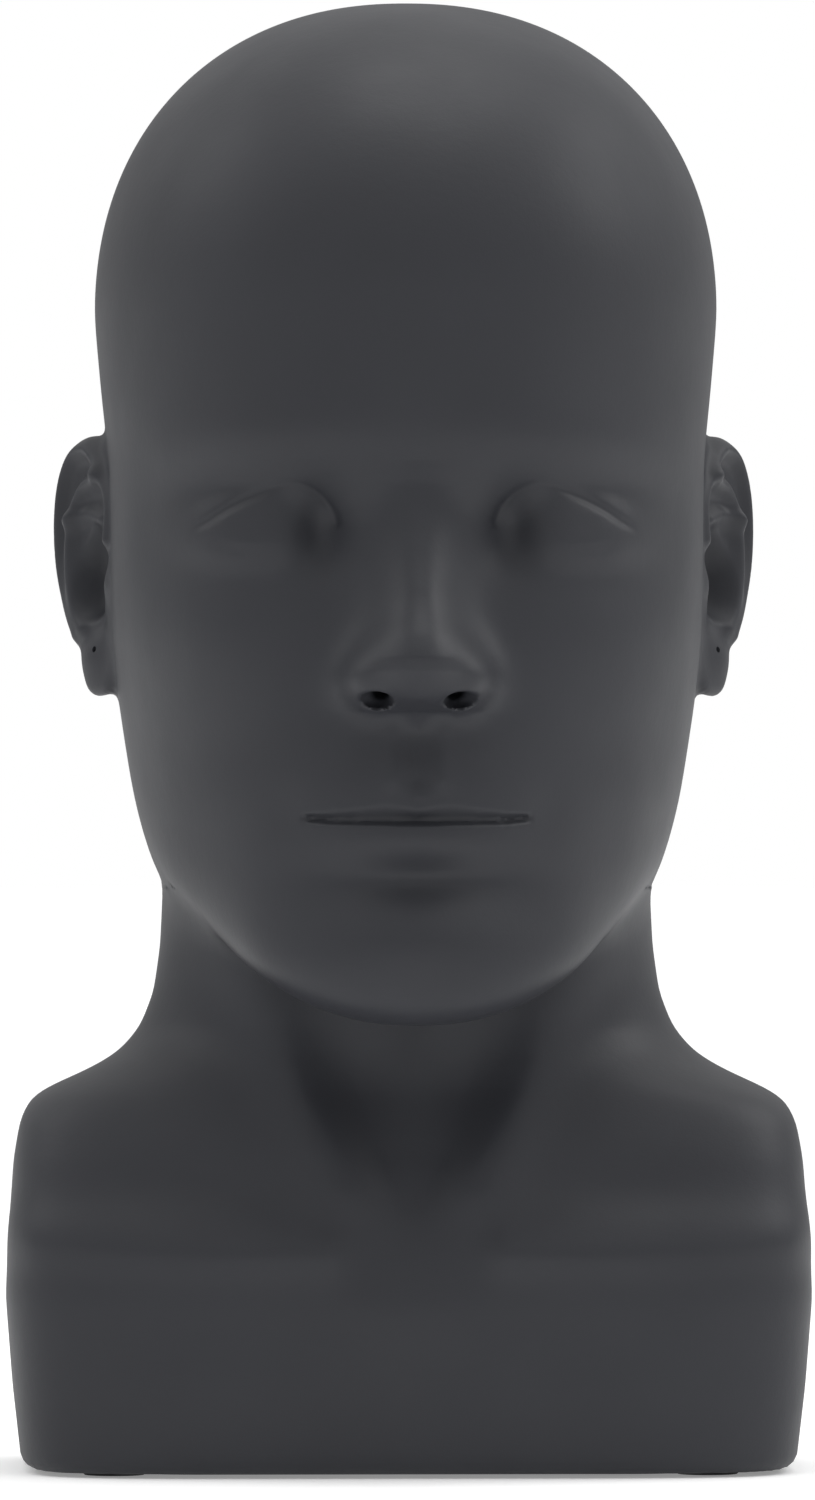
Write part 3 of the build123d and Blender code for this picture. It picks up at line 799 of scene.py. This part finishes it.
# ---- Materials ----------------------------------------------------------------------------------
class Finish:
    """A material built from nodes. Patterns lie in object space, so their scale is per metre."""

    def __init__(self, name, colour, roughness, metallic=0.0):
        self.material = bpy.data.materials.new(name)
        self.material.use_nodes = True
        self.nodes, self.links = self.material.node_tree.nodes, self.material.node_tree.links
        self.shader = self.nodes["Principled BSDF"]
        self.shader.inputs["Base Color"].default_value = (*colour, 1)
        self.shader.inputs["Roughness"].default_value = roughness
        self.shader.inputs["Metallic"].default_value = metallic
        self.place = self.nodes.new("ShaderNodeTexCoord").outputs["Object"]

    def noise(self, scale, detail=3.0, stretch=None):
        """A noise value. stretch scales the place along each axis first."""
        place = self.place
        if stretch:
            mapping = self.nodes.new("ShaderNodeMapping")
            mapping.inputs["Scale"].default_value = stretch
            self.links.new(place, mapping.inputs["Vector"])
            place = mapping.outputs["Vector"]
        noise = self.nodes.new("ShaderNodeTexNoise")
        noise.inputs["Scale"].default_value = scale
        noise.inputs["Detail"].default_value = detail
        self.links.new(place, noise.inputs["Vector"])
        return noise.outputs["Fac"]

    def spread(self, value, low, high, start=0.3, end=0.7):
        """value between start and end, turned into a number between low and high."""
        scaled = self.nodes.new("ShaderNodeMapRange")
        for name, number in (("From Min", start), ("From Max", end), ("To Min", low), ("To Max", high)):
            scaled.inputs[name].default_value = number
        self.links.new(value, scaled.inputs["Value"])
        return scaled.outputs["Result"]

    def blend(self, value, first, second):
        """A colour between two, by value. first may be another blend's output."""
        mix = self.nodes.new("ShaderNodeMix")
        mix.data_type = "RGBA"
        self.links.new(value, mix.inputs["Factor"])
        for socket, colour in ((mix.inputs[6], first), (mix.inputs[7], second)):
            if isinstance(colour, tuple):
                socket.default_value = (*colour, 1)
            else:
                self.links.new(colour, socket)
        return mix.outputs[2]

    def use(self, value, socket):
        """Drives one of the shader's sockets."""
        self.links.new(value, self.shader.inputs[socket])

    def bump(self, value, height, strength=1.0, under=None):
        """Relief of that height in metres. under is a coarser bump that it lies on."""
        bump = self.nodes.new("ShaderNodeBump")
        bump.inputs["Distance"].default_value = height
        bump.inputs["Strength"].default_value = strength
        self.links.new(value, bump.inputs["Height"])
        if under:
            self.links.new(under, bump.inputs["Normal"])
        self.use(bump.outputs["Normal"], "Normal")
        return bump.outputs["Normal"]


def charcoal_plastic():
    """Satin moulded plastic: a fine even grain, slow changes of sheen, and slightly rubbed edges."""
    finish = Finish("charcoal_plastic", (0.026, 0.027, 0.032), 0.5)
    finish.shader.inputs["Specular IOR Level"].default_value = 0.32
    tone = finish.spread(finish.noise(16.0), 0.0, 1.0)
    colour = finish.blend(tone, (0.0245, 0.0255, 0.0305), (0.0275, 0.0288, 0.0345))
    edges = finish.nodes.new("ShaderNodeNewGeometry").outputs["Pointiness"]
    rubbed = finish.spread(edges, 0.0, 0.5, start=0.53, end=0.62)
    finish.use(finish.blend(rubbed, colour, (0.055, 0.057, 0.063)), "Base Color")
    finish.use(finish.spread(finish.noise(24.0, detail=6.0), 0.47, 0.57), "Roughness")
    grain = finish.bump(finish.noise(420.0, detail=2.0), 0.00012, 0.35)
    finish.bump(finish.noise(1900.0, detail=2.0), 0.00005, 0.5, under=grain)
    return finish.material


def powder_coat():
    """Black powder-coated steel with its orange-peel texture."""
    finish = Finish("powder_coated_steel", (0.018, 0.018, 0.019), 0.55)
    tone = finish.spread(finish.noise(60.0), 0.0, 1.0)
    finish.use(finish.blend(tone, (0.016, 0.016, 0.017), (0.023, 0.023, 0.024)), "Base Color")
    finish.use(finish.spread(finish.noise(90.0), 0.48, 0.62), "Roughness")
    finish.bump(finish.noise(1300.0), 0.0002, 0.5)
    return finish.material


def zinc():
    """Bright zinc plating, a little blotched and faintly yellow."""
    finish = Finish("zinc_plate", (0.62, 0.62, 0.6), 0.3, metallic=1.0)
    tone = finish.spread(finish.noise(700.0), 0.0, 1.0)
    finish.use(finish.blend(tone, (0.55, 0.56, 0.57), (0.68, 0.65, 0.56)), "Base Color")
    finish.use(finish.spread(finish.noise(1100.0), 0.22, 0.42), "Roughness")
    finish.bump(finish.noise(4000.0), 0.00002, 0.4)
    return finish.material


def glass_filled_nylon():
    """Black nylon with the pale flecks of its glass fibre."""
    finish = Finish("glass_filled_nylon", (0.02, 0.02, 0.021), 0.5)
    fleck = finish.spread(finish.noise(2600.0, stretch=(1.0, 0.35, 1.0)), 0.0, 0.6, start=0.58, end=0.72)
    finish.use(finish.blend(fleck, (0.018, 0.018, 0.019), (0.06, 0.06, 0.062)), "Base Color")
    finish.use(finish.spread(finish.noise(300.0), 0.42, 0.6), "Roughness")
    finish.bump(finish.noise(1500.0), 0.00008, 0.4)
    return finish.material


def beech():
    """Plain beech with long grain and short dark flecks."""
    finish = Finish("beech", (0.55, 0.37, 0.22), 0.6)
    grain = finish.noise(70.0, detail=6.0, stretch=(0.12, 1.6, 1.6))
    colour = finish.blend(finish.spread(grain, 0.0, 1.0), (0.62, 0.43, 0.26), (0.47, 0.3, 0.165))
    fleck = finish.noise(900.0, detail=1.0, stretch=(0.15, 1.0, 1.0))
    dark = finish.spread(fleck, 0.0, 0.7, start=0.62, end=0.7)
    finish.use(finish.blend(dark, colour, (0.3, 0.17, 0.09)), "Base Color")
    finish.use(finish.spread(grain, 0.52, 0.68), "Roughness")
    finish.bump(grain, 0.0003, 0.4)
    return finish.material


def rubber():
    """Dull dark rubber with a bloom on it."""
    finish = Finish("rubber", (0.02, 0.02, 0.02), 0.85)
    bloom = finish.spread(finish.noise(220.0), 0.0, 1.0)
    finish.use(finish.blend(bloom, (0.014, 0.014, 0.014), (0.032, 0.032, 0.033)), "Base Color")
    finish.use(finish.spread(finish.noise(500.0), 0.78, 0.92), "Roughness")
    finish.bump(finish.noise(3000.0), 0.00006, 0.5)
    return finish.material


def dress(obj, material):
    """Gives a piece one material."""
    obj.data.materials.clear()
    obj.data.materials.append(material)


def dress_parts():
    """Gives the skin and every CAD part that shows its own material."""
    by_start = {
        "base_plate": powder_coat(),
        "stand_socket": glass_filled_nylon(),
        "base_screws": zinc(),
        "mounting_block": beech(),
        "rubber_foot": rubber(),
    }
    for start in ("socket_screws", "socket_washers", "socket_nuts"):
        by_start[start] = by_start["base_screws"]
    for name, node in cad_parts.items():
        for start, material in by_start.items():
            if name.startswith(start):
                dress(node, material)
    dress(skin, charcoal_plastic())


dress_parts()


# ---- Floor, lights and camera, in metres ---------------------------------------------------------
SKY = (-0.2, 1.0, 0.22, 1.15)  # lowest and highest upward direction, and the sky's strength at each
FLOOR_GLOW = 0.25
FLOOR_SIZE, FLOOR_DROP = 60, 0.0002
LIGHT_TARGET = (0, 0, 0.25)
SOFT_BOXES = {  # place, size, power in watts
    "right_box": ((1.3, 0.2, 1.2), (0.8, 0.8), 6),
    "left_box": ((-1.3, 0.3, 1.2), (0.8, 0.8), 2.5),
    "top_box": ((0.15, 0.1, 1.7), (0.9, 0.9), 5),
}
CAMERA_DISTANCE, CAMERA_HEIGHT, CAMERA_TURN = 3.0, 0.165, math.radians(-1.6)
VIEW_HEIGHT, VIEW_MIDDLE = 0.3885, 0.1857  # how much is seen from bottom to top, and its middle


def add_floor():
    """A wide pale floor that glows a little, so that it runs into the white round it without a line."""
    bpy.ops.mesh.primitive_plane_add(size=FLOOR_SIZE, location=(0, 0, -FLOOR_DROP))
    floor = bpy.context.object
    floor.name = "floor"
    finish = Finish("pale_floor", (0.93, 0.93, 0.93), 0.8)
    finish.shader.inputs["Specular IOR Level"].default_value = 0.0
    finish.shader.inputs["Emission Color"].default_value = (1, 1, 1, 1)
    finish.shader.inputs["Emission Strength"].default_value = FLOOR_GLOW
    finish.use(finish.spread(finish.noise(3.0), 0.78, 0.82), "Roughness")
    floor.data.materials.append(finish.material)


def area_light(name, place, size, power):
    """A rectangular soft light that faces the head."""
    data = bpy.data.lights.new(name, "AREA")
    data.shape = "RECTANGLE"
    data.size, data.size_y = size
    data.energy = power
    light = bpy.data.objects.new(name, data)
    light.location = place
    light.rotation_euler = (Vector(LIGHT_TARGET) - Vector(place)).to_track_quat("-Z", "Y").to_euler()
    bpy.context.collection.objects.link(light)


def add_world():
    """White all round to the eye. As a light it is a soft sky, brightest overhead."""
    world = bpy.data.worlds.new("studio")
    bpy.context.scene.world = world
    world.use_nodes = True
    nodes, links = world.node_tree.nodes, world.node_tree.links
    nodes["Background"].inputs["Color"].default_value = (1, 1, 1, 1)
    split = nodes.new("ShaderNodeSeparateXYZ")
    links.new(nodes.new("ShaderNodeTexCoord").outputs["Generated"], split.inputs["Vector"])
    sky = nodes.new("ShaderNodeMapRange")
    for name, number in zip(("From Min", "From Max", "To Min", "To Max"), SKY):
        sky.inputs[name].default_value = number
    links.new(split.outputs["Z"], sky.inputs["Value"])
    choice = nodes.new("ShaderNodeMix")
    choice.inputs["B"].default_value = 1.0
    links.new(nodes.new("ShaderNodeLightPath").outputs["Is Camera Ray"], choice.inputs["Factor"])
    links.new(sky.outputs["Result"], choice.inputs["A"])
    links.new(choice.outputs["Result"], nodes["Background"].inputs["Strength"])


def add_camera():
    """A long lens in front of the face, level, with the picture shifted to hold the whole bust."""
    data = bpy.data.cameras.new("camera")
    camera = bpy.data.objects.new("camera", data)
    bpy.context.collection.objects.link(camera)
    right, forward = math.sin(CAMERA_TURN) * CAMERA_DISTANCE, -math.cos(CAMERA_TURN) * CAMERA_DISTANCE
    camera.location = (right, forward, CAMERA_HEIGHT)
    aim = Vector((0, 0, CAMERA_HEIGHT)) - camera.location
    camera.rotation_euler = aim.to_track_quat("-Z", "Y").to_euler()
    data.sensor_fit = "VERTICAL"
    data.sensor_height = 36
    data.lens = data.sensor_height * CAMERA_DISTANCE / VIEW_HEIGHT
    data.shift_y = (VIEW_MIDDLE - CAMERA_HEIGHT) / VIEW_HEIGHT
    bpy.context.scene.camera = camera


bpy.context.scene.view_settings.view_transform = "Standard"
add_floor()
add_world()
add_camera()
for box_name, box_settings in SOFT_BOXES.items():
    area_light(box_name, *box_settings)
